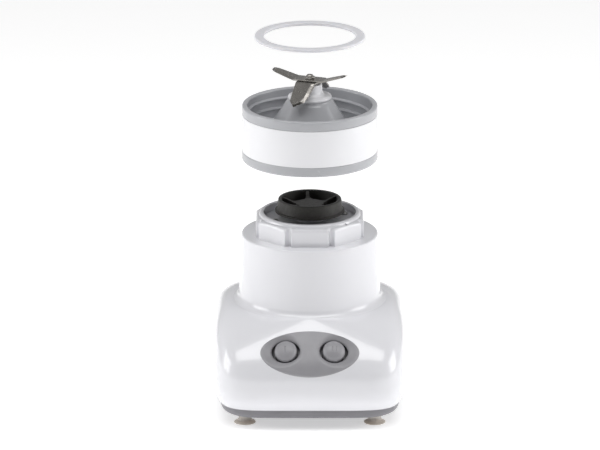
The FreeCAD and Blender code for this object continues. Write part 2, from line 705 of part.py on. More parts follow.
def driven_coupling():
    """The plate and dogs under the collar that drop between the vanes of the drive coupling."""
    plate = turned(lift([
        (SHAFT_R, 33.6), (24.6, 33.6), (24.6, 36.6), (23.6, 37.6), (9.0, 37.6), (8.0, 44.0), (SHAFT_R, 44.0),
    ]))
    dog = tube(15.2, 24.2, COLLAR_Z + 25.2, COLLAR_Z + 34.0)
    wedge = sector(60, 26.0)
    wedge.translate(Vector(0, 0, COLLAR_Z - 20))
    half_pitch = 180.0 / VANES
    dogs = [w.common(dog) for w in around(wedge, VANES, VANE_ANGLE + half_pitch)]
    return fused([plate] + dogs)


def retaining_clip():
    clip = tube(SHAFT_R, 6.4, COLLAR_Z + 32.4, COLLAR_Z + 33.4)
    return clip.cut(block((0, 10), (-1.6, 1.6), (COLLAR_Z + 30, COLLAR_Z + 35)))


def arm(outline, bend):
    """One blade arm: a flat outline, ground to an edge along one side and bent outside the hub."""
    plate = Part.Face(Part.makePolygon([Vector(x, y, 0) for x, y in outline + outline[:1]]))
    plate = plate.extrude(Vector(0, 0, BLADE_T))
    edge_y = max(y for _, y in outline)
    grind = Part.makeBox(80, 10, 6, Vector(12, -5, 0.15))
    grind.rotate(Vector(12, 0, 0.15), X, -24)
    grind.translate(Vector(0, edge_y + 2.2, 0))
    plate = plate.cut(grind)
    root = plate.common(block((0, BLADE_ROOT), (-20, 20), (-5, 5)))
    tip = plate.common(block((BLADE_ROOT, 80), (-20, 20), (-5, 5)))
    tip.rotate(Vector(BLADE_ROOT, 0, 0 if bend > 0 else BLADE_T), Y, -bend)
    return root.fuse(tip)


def blade(outline, bend, azimuth, low):
    """A two-armed blade: a hub and two arms turned half a circle apart."""
    first = arm(outline, bend).cut(rod(3.02, -20, 20))
    shape = fused([tube(3.02, 9.0, 0, BLADE_T)] + around(first, 2, azimuth))
    shape.translate(Vector(0, 0, COLLAR_Z + low))
    return shape


def upper_blade():
    """The blade whose arms rise: broad at the root, rounded at the tip."""
    outline = [(2, -6.6), (30, -5.4), (33.6, -4.0), (35.4, -1.2), (35.2, 2.0), (32.0, 4.8), (20, 6.4), (2, 6.8)]
    return blade(outline, 14.0, -20.0, POST_TOP + 2.9)


def lower_blade():
    """The blade whose arms dive: long, with a slanted pointed tip."""
    outline = [(2, -8.2), (28, -7.0), (39.0, -3.0), (33.0, 5.0), (22, 7.2), (2, 8.2)]
    return blade(outline, -32.0, 70.0, POST_TOP + 1.4)


def blade_washer():
    return tube(SHAFT_R + 0.02, 9.0, COLLAR_Z + POST_TOP + 0.4, COLLAR_Z + POST_TOP + 1.4)


def blade_nut():
    """A domed cap nut."""
    low = COLLAR_Z + POST_TOP + 2.9 + BLADE_T
    hexagon = Part.Face(Part.makePolygon([vec(60 * i, 5.4, low) for i in range(7)]))
    nut = hexagon.extrude(Vector(0, 0, 3.4))
    dome = turned([(0, low), (5.6, low), (5.6, low + 1.6), (4.2, low + 3.4), (0, low + 3.4)])
    return nut.common(dome).cut(rod(3.0, low - 1, COLLAR_Z + POST_TOP + 8.0))


def sealing_ring():
    """The flat silicone ring that seals the jar against the collar's ledge."""
    ring = tube(GASKET_HOLE_R, GASKET_R, GASKET_Z, GASKET_Z + GASKET_T)
    return ring.makeFillet(0.9, [e for e in ring.Edges if len(e.Vertexes) == 1])


def main():
    shell = housing_shell()
    parts.update({
        "main_housing": main_housing(shell),
        "turret": turret(shell),
        "seat_ring": seat_ring(),
        "spill_plate": spill_plate(),
        "plate_screws": plate_screws(),
        "bottom_cover": bottom_cover(),
        "cover_screws": cover_screws(),
        "control_panel": control_panel(),
        "button_retainer": button_retainer(),
        "switch_block": switch_block(),
        "cord_bushing": cord_bushing(),
        "suppression_capacitor": suppression_capacitor(),
        "stator_core": stator_core(),
        "lower_bracket": lower_bracket(),
        "upper_bracket": upper_bracket(),
        "lower_bearing": sleeve_bearing(48, 60),
        "upper_bearing": sleeve_bearing(136, 148),
        "motor_bolts": motor_bolts(),
        "damping_bushes": damping_bushes(),
        "mounting_screws": mounting_screws(),
        "motor_shaft": motor_shaft(),
        "armature_core": armature_core(),
        "armature_winding": armature_winding(),
        "commutator": commutator(),
        "cooling_fan": cooling_fan(),
        "coupling_insert": coupling_insert(),
        "drive_coupling": drive_coupling(),
        "collar_body": collar_body(),
        "blade_cone": blade_cone(),
        "collar_sleeve": collar_sleeve(),
        "collar_base_ring": collar_base_ring(),
        "bearing_housing": bearing_housing(),
        "upper_shaft_bush": shaft_bush(POST_TOP - 10, POST_TOP),
        "lower_shaft_bush": shaft_bush(CONE_TOP - 10, CONE_TOP - 2),
        "shaft_seal": shaft_bush(CONE_TOP, CONE_TOP + 4),
        "blade_shaft": blade_shaft(),
        "driven_coupling": driven_coupling(),
        "retaining_clip": retaining_clip(),
        "blade_washer": blade_washer(),
        "lower_blade": lower_blade(),
        "upper_blade": upper_blade(),
        "blade_nut": blade_nut(),
        "sealing_ring": sealing_ring(),
    })
    for side, turn in (("left", 180), ("right", 0)):
        parts["field_coil_" + side] = field_coil(turn)
        parts["button_" + side] = button(side)
        parts["button_spring_" + side] = button_spring(side)
    for side, turn in (("front", 180), ("rear", 0)):
        parts["brush_holder_" + side] = brush_holder(turn)
        parts["carbon_brush_" + side] = carbon_brush(turn)
    for depth, y in (("front", FOOT_FRONT_Y), ("rear", FOOT_BACK_Y)):
        for side, x in (("left", -FOOT_X), ("right", FOOT_X)):
            parts["foot_" + depth + "_" + side] = foot(x, y)
    os.makedirs("parts", exist_ok=True)
    for name, shape in parts.items():
        if not shape.isValid() or shape.Volume <= 0:
            print("check", name, shape.isValid(), shape.Volume)
        shape = moved(shape, Placement(Vector(0, AXIS_Y, 0), Rotation()))
        shape.exportStep("parts/" + name + ".step")
    print(len(parts), "parts")


main()
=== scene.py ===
"""Countertop blender: the looks of the motor base, the blade collar and the sealing ring.

Laid out as an add-on and run as a script. Every new surface is a grid of two parameters in
millimetres, on the same axis as the frame, and rides on the body of the part that it stands for.
"""

import json
import math

import bpy
import numpy as np
from mathutils import Matrix, Vector


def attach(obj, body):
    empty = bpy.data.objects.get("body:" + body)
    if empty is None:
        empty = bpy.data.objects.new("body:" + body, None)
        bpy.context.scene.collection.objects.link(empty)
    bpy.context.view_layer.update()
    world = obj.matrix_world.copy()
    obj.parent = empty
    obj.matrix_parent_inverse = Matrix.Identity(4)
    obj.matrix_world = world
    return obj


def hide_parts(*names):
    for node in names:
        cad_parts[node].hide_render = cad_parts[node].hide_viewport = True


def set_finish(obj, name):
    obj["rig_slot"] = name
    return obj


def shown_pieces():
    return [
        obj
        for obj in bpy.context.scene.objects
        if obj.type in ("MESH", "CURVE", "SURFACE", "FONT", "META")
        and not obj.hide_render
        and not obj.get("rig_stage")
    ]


bl_info = {
    "name": "Countertop Blender Maker",
    "version": (1, 0, 0),
    "blender": (4, 5, 0),
    "location": "3D View > Sidebar > Blender Maker",
    "description": "Builds a countertop blender's base, blade collar and seal with their finishes",
    "category": "Object",
}

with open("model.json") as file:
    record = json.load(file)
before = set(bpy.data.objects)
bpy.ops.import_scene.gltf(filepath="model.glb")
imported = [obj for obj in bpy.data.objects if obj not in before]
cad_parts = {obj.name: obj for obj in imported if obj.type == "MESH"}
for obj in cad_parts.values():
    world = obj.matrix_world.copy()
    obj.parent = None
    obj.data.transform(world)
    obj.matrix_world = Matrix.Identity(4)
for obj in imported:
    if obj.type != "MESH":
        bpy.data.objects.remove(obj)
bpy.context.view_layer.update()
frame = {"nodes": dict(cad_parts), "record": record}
NODES = frame["nodes"]
MM = 0.001
TAU = 2 * math.pi

# Driving dimensions of the motor base, in millimetres. They follow the frame's, except the seat
# ring's lugs, the blades and the nut, which are drawn more finely. Shapes are drawn on the motor's
# axis, which stands AXIS_Y behind the frame's origin.
AXIS_Y = 10.0
WALL = 2.8
COVER_BOTTOM_Z, COVER_TOP_Z = 9.5, 18.5
SIDE, SIDE_TUCK, SIDE_TUCK_Z, SHOULDER_Z = 88.0, 4.0, 34.0, 72.0
NOSE, NOSE_TUCK, NOSE_TUCK_Z = 111.5, 12.0, 45.0
SLOPE_Z, SLOPE_ROUND = 62.0, 6.0
CREASE_R, CREASE_Z = 70.5, 96.5
FRONT_SLOPE = (NOSE - CREASE_R) / (CREASE_Z - SLOPE_Z)
TURRET_R_LOW, TURRET_R_TOP, FLARE_TOP_Z = 65.2, 62.6, 104.0
SEAT_Z, SEAT_HOLE_R = 159.0, 30.0
RING_BORE_R, RING_TOP_Z = 42.2, 179.0
RING_LUGS, LUG_HALF_WIDTH, LUG_FLAT = 8, 18.3, 49.5
GROOVE_R, CREST_R = 49.0, 46.8
PIN_PLACE, PIN_R = (33.0, -33.6), 1.1
CORD_HOLE_R = 6.0

# Drive coupling
CUP_R, CUP_TOP_Z, CUP_WALL, CUP_FLANGE_R = 29.0, 191.5, 3.2, 32.0
CUP_BOTTOM_Z, CUP_FLOOR_Z, VANE_TOP_Z = 179.2, 182.5, 186.9
VANES, VANE_ANGLE, VANE_WIDTH, DISC_R = 5, 95.0, 3.2, 13.0
SOCKET_R, SOCKET_TOP_Z = 7.0, 184.6

# Control panel and buttons
PANEL_HALF_WIDTH, PANEL_HALF_HEIGHT, PANEL_Z, PANEL_TILT = 45.4, 22.7, 73.4, 46.0
PANEL_PROUD, PANEL_DEPTH = 0.7, 6.0
BUTTON_X, BUTTON_Z, BUTTON_R, BUTTON_DOME, BUTTON_SPLAY = 22.2, 74.9, 10.2, 5.0, 6.0
BUTTON_HOLE = (13.0, 11.3)
STOP_R, STEM_R = 14.4, 3.5
WELL_RADIUS, WELL_DEPTH = 44.0, 3.6

# Collar, blades and seal; collar heights count from its lower edge
COLLAR_Z, COLLAR_H, COLLAR_R, COLLAR_INNER_R = 229.4, 52.0, 62.0, 57.0
BAND_H, LEDGE = 9.0, 24.5
CONE_LOW_R, CONE_TOP_R, CONE_TOP = 41.0, 20.5, 56.0
POST_R, POST_TOP = 11.5, 72.0
THREAD_PITCH, THREAD_TURNS, THREAD_DEPTH = 9.0, 1.75, 2.2
BLADE_T, NUT_H, NUT_FLAT, NUT_CORNER = 1.5, 2.0, 4.68, 5.3
GASKET_R, GASKET_HOLE_R, GASKET_T, GASKET_Z = 50.5, 42.0, 3.0, 343.9
FEET = {
    "foot_front_left": (-59.5, -76.0), "foot_front_right": (59.5, -76.0),
    "foot_rear_left": (-59.5, 60.0), "foot_rear_right": (59.5, 60.0),
}


# ---- settings a user would change ----

def colour(name, description, default):
    """A colour setting, kept as an sRGB hex value."""
    return bpy.props.StringProperty(name=name, description=description, default=default)


class BLENDERMAKER_PG_colours(bpy.types.PropertyGroup):
    """Finishes, as sRGB hex values."""
    shell: colour("Housing", "White of the housing and seat ring", "#E8E8EC")
    sleeve: colour("Sleeve", "Brighter white of the collar's sleeve and post", "#EFEFF2")
    trim: colour("Trim", "Grey of the base cover", "#828186")
    collar: colour("Collar", "Lighter grey of the collar's mouldings", "#B0B1B5")
    panel: colour("Panel", "Grey of the control panel and buttons", "#99989C")
    rubber: colour("Coupling", "Black of the rubber drive coupling", "#1F1E1B")
    steel: colour("Blades", "Ground stainless steel of the blades", "#9C9995")
    seal: colour("Seal", "Milky silicone of the sealing ring", "#DADADE")
    foot: colour("Feet", "Translucent silicone of the feet", "#CFC9C2")


class BLENDERMAKER_PG_sizes(bpy.types.PropertyGroup):
    """Sizes of the small details."""
    wall: bpy.props.FloatProperty(
        name="Wall", description="Wall of the moulded housing", default=WALL * MM, unit="LENGTH")
    thread: bpy.props.FloatProperty(
        name="Thread depth", description="Height of the jar thread's ridge",
        default=THREAD_DEPTH * MM, unit="LENGTH")
    rounding: bpy.props.FloatProperty(
        name="Edge rounding", description="Radius on the rim of the control panel",
        default=1.1 * MM, unit="LENGTH")
    mark: bpy.props.FloatProperty(
        name="Mark depth", description="Depth of the strokes engraved in the buttons",
        default=0.5 * MM, unit="LENGTH")


# ---- mesh making ----

def smooth(low, high, value):
    """Smooth step: 0 below low, 1 above high, and an S-curve of value between them."""
    t = np.clip((value - low) / (high - low), 0.0, 1.0)
    return t * t * (3 - 2 * t)


def soft_min(a, b, width):
    """The lesser of two values, with the corner between them rounded over width."""
    h = np.clip(0.5 + 0.5 * (b - a) / width, 0, 1)
    return b * (1 - h) + a * h - width * h * (1 - h)


def mesh_piece(name, shells, body, slot, replaced=(), sharp=35.0):
    """Makes one object from grids of points in millimetres.

    Each shell is an array (rows, columns, 3) whose columns close on themselves. Points that fall
    together, as at poles and seams, are merged, so a shell whose first and last rows are single
    points, or the same row, is closed. Its faces are turned outwards by the sign of its volume."""
    all_points, all_faces, offset = [], [], 0
    for shell in shells:
        rows, columns = shell.shape[:2]
        keys = np.round(shell.reshape(-1, 3) * 2000).astype(np.int64)
        _, first, inverse = np.unique(keys, axis=0, return_index=True, return_inverse=True)
        points = shell.reshape(-1, 3)[first]
        index = inverse.reshape(rows, columns)
        right = np.roll(index, -1, axis=1)
        quads = np.stack([index[:-1], right[:-1], right[1:], index[1:]], -1).reshape(-1, 4)
        same = quads == np.roll(quads, -1, axis=1)
        whole = quads[~same.any(axis=1)]
        single = same.sum(axis=1) == 1
        folded = quads[single]
        keep = ~same[single]
        triangles = folded[keep].reshape(-1, 3)
        split = np.concatenate([whole[:, [0, 1, 2]], whole[:, [0, 2, 3]], triangles])
        a, b, c = (points[split[:, i]] for i in range(3))
        if np.einsum("ij,ij->", a, np.cross(b, c)) < 0:
            whole, triangles = whole[:, ::-1], triangles[:, ::-1]
        all_points.append((points + [0, AXIS_Y, 0]) * MM)
        all_faces += (whole + offset).tolist() + (triangles + offset).tolist()
        offset += len(points)
    mesh = bpy.data.meshes.new(name)
    mesh.from_pydata(np.concatenate(all_points), [], all_faces)
    mesh.polygons.foreach_set("use_smooth", np.ones(len(mesh.polygons), bool))
    mesh.set_sharp_from_angle(angle=math.radians(sharp))
    piece = bpy.data.objects.new(name, mesh)
    bpy.context.scene.collection.objects.link(piece)
    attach(piece, body)
    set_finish(piece, slot)
    if replaced:
        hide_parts(*replaced)
    return piece


def circle(count):
    """Angles of a full turn, the first not repeated."""
    return np.arange(count) * TAU / count


def arc(centre, radius, start, end, count):
    """(radius, height) points on an arc, angles in degrees from the outward direction."""
    a = np.radians(np.linspace(start, end, count))
    return np.stack([centre[0] + radius * np.cos(a), centre[1] + radius * np.sin(a)], 1)


def rounded(points, radius, steps=5, closed=True):
    """A (radius, height) outline with each corner cut back by up to radius and turned on a
    quadratic curve through its two cut points, with the corner as control point."""
    points = np.asarray(points, float)
    out = []
    for i in range(len(points)):
        if not closed and i in (0, len(points) - 1):
            out.append(points[i])
            continue
        before, here, after = points[i - 1], points[i], points[(i + 1) % len(points)]
        back, on = before - here, after - here
        cut = min(radius, np.linalg.norm(back) * 0.45, np.linalg.norm(on) * 0.45)
        a = here + back / np.linalg.norm(back) * cut
        b = here + on / np.linalg.norm(on) * cut
        for t in np.linspace(0, 1, steps):
            out.append((1 - t) ** 2 * a + 2 * t * (1 - t) * here + t * t * b)
    if closed:
        out.append(out[0])
    return np.array(out)


def spun(outline, count=160, lift=0.0):
    """A surface of revolution: each (radius, height) point of the outline carried round Z."""
    outline = np.asarray(outline, float)
    a = circle(count)
    r, z = outline[:, :1], outline[:, 1:2] + lift
    return np.stack([r * np.cos(a), r * np.sin(a), z + 0 * a], -1)


def placed(points, matrix):
    """Points in millimetres carried by a 4x4 placement."""
    m = np.array(matrix)
    return points @ m[:3, :3].T + m[:3, 3]


def cut_by(piece, cutters):
    """Subtracts closed solids from a piece and keeps the result as the piece's own mesh."""
    for cutter in cutters:
        tool = bpy.data.objects.new("cutter", cutter)
        bpy.context.scene.collection.objects.link(tool)
        modifier = piece.modifiers.new("opening", "BOOLEAN")
        modifier.operation, modifier.solver, modifier.object = "DIFFERENCE", "EXACT", tool
        bpy.context.view_layer.update()
        evaluated = piece.evaluated_get(bpy.context.evaluated_depsgraph_get())
        result = bpy.data.meshes.new_from_object(evaluated)
        piece.modifiers.remove(modifier)
        piece.data = result
        bpy.data.objects.remove(tool)
    piece.data.set_sharp_from_angle(angle=math.radians(35.0))


def prism(half_x, half_y, low, high, matrix, count=128):
    """A closed elliptical prism as a mesh, for cutting."""
    a = circle(count)
    rings = [np.stack([half_x * np.cos(a), half_y * np.sin(a), np.full(count, z)], -1) for z in (low, high)]
    verts = (placed(np.concatenate(rings), matrix) + [0, AXIS_Y, 0]) * MM
    faces = [list(range(count))[::-1], list(range(count, 2 * count))]
    faces += [[i, (i + 1) % count, count + (i + 1) % count, count + i] for i in range(count)]
    mesh = bpy.data.meshes.new("prism")
    mesh.from_pydata(verts, [], faces)
    return mesh


# ---- the body's outer form ----

def side_extent(z):
    """Half-width at a height: upright, an elliptical quarter-turn over to the crease above the
    shoulder, and a parabola inwards below the tuck."""
    rise = np.clip((z - SHOULDER_Z) / (CREASE_Z - SHOULDER_Z), 0, 1)
    drop = np.clip((SIDE_TUCK_Z - z) / (SIDE_TUCK_Z - COVER_TOP_Z), 0, None)
    return CREASE_R + (SIDE - CREASE_R) * np.sqrt(1 - rise * rise) - SIDE_TUCK * drop * drop


def front_extent(z):
    """Depth of the front: a straight slope softened into the upright nose by a softplus curve,
    less a power curve below the tuck."""
    turn = np.log1p(np.exp((z - SLOPE_Z) / SLOPE_ROUND))
    drop = np.clip((NOSE_TUCK_Z - z) / (NOSE_TUCK_Z - COVER_TOP_Z), 0, None)
    return NOSE - FRONT_SLOPE * SLOPE_ROUND * turn - NOSE_TUCK * drop ** 2.2


def squareness(z):
    """Exponent of the superellipse: 6 at the parting line, falling to 2, a circle, at the crease."""
    return 6.0 - 4.0 * np.clip((z - COVER_TOP_Z) / (CREASE_Z - COVER_TOP_Z), 0, 1) ** 4


def outline(angle, side, front, square):
    """Superellipse in polar form: radius = (|cos/side|^n + |sin/depth|^n)^(-1/n), where the depth
    is the front's for the front half and the side's behind."""
    c, s = np.cos(angle), np.sin(angle)
    depth = np.where(s < 0, front, side)
    r = ((np.abs(c) / side) ** square + (np.abs(s) / depth) ** square) ** (-1.0 / square)
    return r * c, r * s


def body_rows(inset, count):
    """Rows (z, side, front, exponent) from the parting line to the crease, denser near the crease."""
    t = np.linspace(0, 1, count)
    at = COVER_TOP_Z + (CREASE_Z - COVER_TOP_Z) * np.sin(t * np.pi / 2) ** 1.3
    z = COVER_TOP_Z + (CREASE_Z - inset - COVER_TOP_Z) * (at - COVER_TOP_Z) / (CREASE_Z - COVER_TOP_Z)
    return np.stack([z, side_extent(at) - inset, front_extent(at) - inset, squareness(at)], 1)


def round_rows(profile):
    """The same kind of rows for round stretches of the outline."""
    profile = np.asarray(profile)
    return np.stack([profile[:, 1], profile[:, 0], profile[:, 0], np.full(len(profile), 2.0)], 1)


def turret_profile(inset):
    """(radius, height): the flare as a circle arc through three points, the tapered wall and the
    rounded lip."""
    flare = three_point_arc(
        (CREASE_R - 0.3, CREASE_Z + 0.2), (TURRET_R_LOW + 1.35, CREASE_Z + 2.6),
        (TURRET_R_LOW, FLARE_TOP_Z), 14)
    wall = np.stack([np.linspace(TURRET_R_LOW, TURRET_R_TOP, 10)[1:],
                     np.linspace(FLARE_TOP_Z, SEAT_Z - 1.6, 10)[1:]], 1)
    lip = arc((TURRET_R_TOP - 1.6, SEAT_Z - 1.6), 1.6, 0, 90, 7)[1:]
    profile = np.concatenate([flare, wall, lip, [[SEAT_HOLE_R + inset, SEAT_Z]]])
    return profile - [inset, inset]


def three_point_arc(a, b, c, count):
    """Points on the circle through three points, from the first to the last."""
    (ax, ay), (bx, by), (cx, cy) = a, b, c
    d = 2 * (ax * (by - cy) + bx * (cy - ay) + cx * (ay - by))
    aa, bb, cc = ax * ax + ay * ay, bx * bx + by * by, cx * cx + cy * cy
    ux = (aa * (by - cy) + bb * (cy - ay) + cc * (ay - by)) / d
    uy = (aa * (cx - bx) + bb * (ax - cx) + cc * (bx - ax)) / d
    start, end = math.atan2(ay - uy, ax - ux), math.atan2(cy - uy, cx - ux)
    if abs(end - start) > math.pi:
        end += TAU if end < start else -TAU
    t = np.linspace(start, end, count)
    r = math.hypot(ax - ux, ay - uy)
    return np.stack([ux + r * np.cos(t), uy + r * np.sin(t)], 1)


def rows_to_shell(rows, count):
    """Carries outline rows round the axis."""
    a = circle(count)
    x, y = outline(a[None, :], rows[:, 1:2], rows[:, 2:3], rows[:, 3:4])
    return np.stack([x, y, rows[:, :1] + 0 * a], -1)


def panel_matrix(x=0.0, z=PANEL_Z, splay=0.0):
    """Placement on the sloping front, its local z along the outward normal."""
    tilt = Matrix.Rotation(math.radians(90 - PANEL_TILT), 4, "X")
    turn = tilt @ Matrix.Rotation(math.radians(splay), 4, "Y")
    return Matrix.Translation((x, -float(front_extent(np.float64(z))), z)) @ turn


def housing():
    """Body and turret as one closed shell: outer rows upwards, then the same rows inset by the
    wall downwards, with an elliptical opening for the panel."""
    wall = bpy.context.scene.blendermaker_sizes.wall / MM
    outer = np.concatenate([body_rows(0, 110), round_rows(turret_profile(0))])
    inner = np.concatenate([body_rows(wall, 40), round_rows(turret_profile(wall))])[::-1]
    rows = np.concatenate([outer, inner, outer[:1]])
    piece = mesh_piece(
        "housing_skin", [rows_to_shell(rows, 224)], "base", "white_abs", ["main_housing", "turret"])
    hole = prism(PANEL_HALF_WIDTH - 0.25, PANEL_HALF_HEIGHT - 0.25, -14, 14, panel_matrix())
    cord = Matrix.Translation((0, SIDE - 12, 36)) @ Matrix.Rotation(math.radians(-90), 4, "X")
    cut_by(piece, [hole, prism(CORD_HOLE_R, CORD_HOLE_R, 0, 20, cord, 48)])


def surface_height(u, v, matrix, grow):
    """Distance along a frame's local z from its local (u, v) plane to the body's surface moved
    out by grow, found by halving an interval where the superellipse's value crosses one."""
    low, high = np.full(u.shape, -16.0), np.full(u.shape, 12.0)
    for _ in range(26):
        mid = (low + high) / 2
        p = placed(np.stack([u, v, mid], -1), matrix)
        z = np.clip(p[..., 2], COVER_TOP_Z, CREASE_Z - 0.01)
        side, front, n = side_extent(z) + grow, front_extent(z) + grow, squareness(z)
        inside = (np.abs(p[..., 0]) / side) ** n + (np.abs(p[..., 1]) / front) ** n < 1
        low, high = np.where(inside, mid, low), np.where(inside, high, mid)
    return (low + high) / 2


def button_frames():
    """Placements of the two buttons, splayed a little outwards."""
    return {
        "left": panel_matrix(-BUTTON_X, BUTTON_Z, -BUTTON_SPLAY),
        "right": panel_matrix(BUTTON_X, BUTTON_Z, BUTTON_SPLAY),
    }


def control_panel():
    """The oval panel on polar rows: the body's surface, a little proud, rounded down at its rim,
    with a spherical dish blended in round each button; then its side and its flat-cut back."""
    rounding = bpy.context.scene.blendermaker_sizes.rounding / MM
    base = panel_matrix()
    count = 288
    a = circle(count)
    edge = 1 - rounding / PANEL_HALF_HEIGHT
    rim = np.sin(np.linspace(0, np.pi / 2, 9)[1:])
    k = np.concatenate([np.linspace(0, edge, 90), edge + (1 - edge) * rim])
    u = k[:, None] * (PANEL_HALF_WIDTH + 0.12) * np.cos(a)
    v = k[:, None] * (PANEL_HALF_HEIGHT + 0.12) * np.sin(a)
    top = surface_height(u, v, base, PANEL_PROUD)
    to_local = np.array(base.inverted())
    for m in button_frames().values():
        centre = np.array(m @ Vector((0, 0, WELL_RADIUS - WELL_DEPTH, 1)))
        cu, cv, cw = (to_local @ centre)[:3]
        dish = cw - np.sqrt(np.maximum(WELL_RADIUS ** 2 - (u - cu) ** 2 - (v - cv) ** 2, 1.0))
        top = soft_min(top, dish, 1.1)
        local = placed(placed(np.stack([u, v, top], -1), base), m.inverted())
        ring = np.hypot(local[..., 0] / BUTTON_HOLE[0], local[..., 1] / BUTTON_HOLE[1])
        top = top - 0.7 * (1 - smooth(0.99, 1.07, ring))
    t = np.clip((k - edge) / (1 - edge), 0, 1)[:, None]
    top = top - (rounding - np.sqrt(np.maximum(rounding ** 2 * (1 - t * t), 0)))
    back_k = np.linspace(1, 0, 12)
    back_u = back_k[:, None] * (PANEL_HALF_WIDTH - 0.3) * np.cos(a)
    back_v = back_k[:, None] * (PANEL_HALF_HEIGHT - 0.3) * np.sin(a)
    back = surface_height(back_u, back_v, base, -PANEL_DEPTH)
    side = np.stack([back_u[:1], back_v[:1], top[-1:] - 1.0], -1)
    shell = np.concatenate([np.stack([u, v, top], -1), side, np.stack([back_u, back_v, back], -1)])
    piece = mesh_piece("panel_fascia", [placed(shell, base)], "base", "grey_abs", ["control_panel"])
    cut_by(piece, [prism(BUTTON_HOLE[0], BUTTON_HOLE[1], -16, 10, m) for m in button_frames().values()])


def button(side):
    """A domed cap on polar rows, each point lowered inside the strokes of its mark; then the cap's
    side, stop flange and stem."""
    depth = bpy.context.scene.blendermaker_sizes.mark / MM
    m = button_frames()[side]
    strokes = [0.0] if side == "left" else [-1.7, 1.7]
    k = np.sin(np.linspace(0, np.pi / 2, 110))
    a = circle(220)
    x, y = BUTTON_R * k[:, None] * np.cos(a), BUTTON_R * k[:, None] * np.sin(a)
    z = BUTTON_DOME * np.sqrt(np.maximum(1 - k[:, None] ** 2, 0)) - 1.5 + 0 * a
    for at in strokes:
        inside = (1 - smooth(0.35, 0.75, np.abs(x - at))) * (1 - smooth(2.3, 2.8, np.abs(y)))
        z = z - depth * inside
    below = rounded([
        (BUTTON_R, -1.5), (BUTTON_R, -9.5), (STOP_R, -9.5), (STOP_R, -11.0), (STEM_R, -11.0),
        (STEM_R, -23.0), (0, -23.0)], 0.3, 3, closed=False)
    shell = np.concatenate([np.stack([x, y, z], -1), spun(below, 220)])
    mesh_piece("button_cap_" + side, [placed(shell, m)], side + "_button", "grey_abs", ["button_" + side])


def seat_ring():
    """The locating ring: eight flat-faced lugs with narrow grooves between them, under a plain crest.
    On a lug the wall's radius is flat / cos(angle from the lug's middle); past its half width it
    fades to the groove's radius. Above, a quarter ellipse closes each wall point in to the crest."""
    a = circle(640)
    pitch = TAU / RING_LUGS
    off = (a + np.pi / 2 + pitch / 2) % pitch - pitch / 2
    lug = LUG_FLAT / np.cos(off)
    groove = smooth(LUG_HALF_WIDTH - 1.6, LUG_HALF_WIDTH + 1.0, np.abs(lug * np.sin(off)))
    wall = lug + (GROOVE_R - lug) * groove
    shoulder_z, crest_z = RING_TOP_Z - 6.4, RING_TOP_Z - 2.8
    q = np.linspace(0, np.pi / 2, 16)[:, None]
    heights = np.concatenate([[SEAT_Z, SEAT_Z + 0.3], np.linspace(SEAT_Z + 1, shoulder_z - 0.3, 12)])[:, None]
    crest = rounded([
        (CREST_R - 0.1, crest_z + 0.1), (CREST_R - 0.5, RING_TOP_Z - 1.2), (CREST_R - 1.8, RING_TOP_Z),
        (RING_BORE_R, RING_TOP_Z), (RING_BORE_R, SEAT_Z)], 0.9, 5, closed=False)
    r = np.concatenate([
        RING_BORE_R + 0 * a[None], wall + 0 * heights, CREST_R + (wall - CREST_R) * np.cos(q),
        crest[:, :1] + 0 * a])
    shoulder = shoulder_z + (crest_z - shoulder_z) * np.sin(q)
    z = np.concatenate([[[SEAT_Z]], heights, shoulder, crest[:, 1:]]) + 0 * a
    shell = np.stack([r * np.cos(a), r * np.sin(a), z], -1)
    piece = mesh_piece("locating_ring", [shell], "base", "white_abs", ["seat_ring"], sharp=50)
    pin = Matrix.Translation((*PIN_PLACE, RING_TOP_Z - 8))
    cut_by(piece, [prism(PIN_R, PIN_R, 0, 10, pin, 24)])


def coupling():
    """The cup on polar rows. Its floor is a height over radius and angle: the floor, raised to the
    vane height inside the centre disc and within half a vane's width of each vane's line."""
    a = circle(480)
    r_in = CUP_R - CUP_WALL
    r = np.concatenate([[0, 3, 6, 9], np.linspace(11, r_in - 0.3, 70)])[:, None] + 0 * a
    pitch = TAU / VANES
    off = (a - math.radians(VANE_ANGLE) + pitch / 2) % pitch - pitch / 2
    across = np.abs(r * np.sin(off))
    half = VANE_WIDTH / 2 + 2.6 * (1 - smooth(DISC_R - 0.5, DISC_R + 4.5, r))
    vane = 1 - smooth(half - 0.25, half + 0.25, across)
    disc = 1 - smooth(DISC_R - 0.25, DISC_R + 0.25, r)
    raised = np.maximum(vane, disc)
    rise = (CUP_TOP_Z - 1.2 - VANE_TOP_Z) * smooth(DISC_R + 0.5, r_in, r)
    z = CUP_FLOOR_Z + (VANE_TOP_Z - CUP_FLOOR_Z + rise) * raised
    floor = np.stack([r * np.cos(a), r * np.sin(a), z], -1)
    rest = rounded([
        (r_in, CUP_TOP_Z - 1.1), (r_in, CUP_TOP_Z - 0.7), (r_in + 0.6, CUP_TOP_Z), (CUP_R - 0.6, CUP_TOP_Z),
        (CUP_R, CUP_TOP_Z - 0.7), (CUP_R + 1.0, CUP_BOTTOM_Z + 2.6), (CUP_R + 1.6, CUP_BOTTOM_Z + 1.8),
        (CUP_FLANGE_R, CUP_BOTTOM_Z + 1.8), (CUP_FLANGE_R, CUP_BOTTOM_Z), (SOCKET_R, CUP_BOTTOM_Z),
        (SOCKET_R, SOCKET_TOP_Z), (0, SOCKET_TOP_Z),
    ], 0.45, 4, closed=False)
    shell = np.concatenate([floor, spun(rest, 480)])
    mesh_piece("coupling_cup", [shell], "rotor", "black_rubber", ["drive_coupling"], sharp=45)


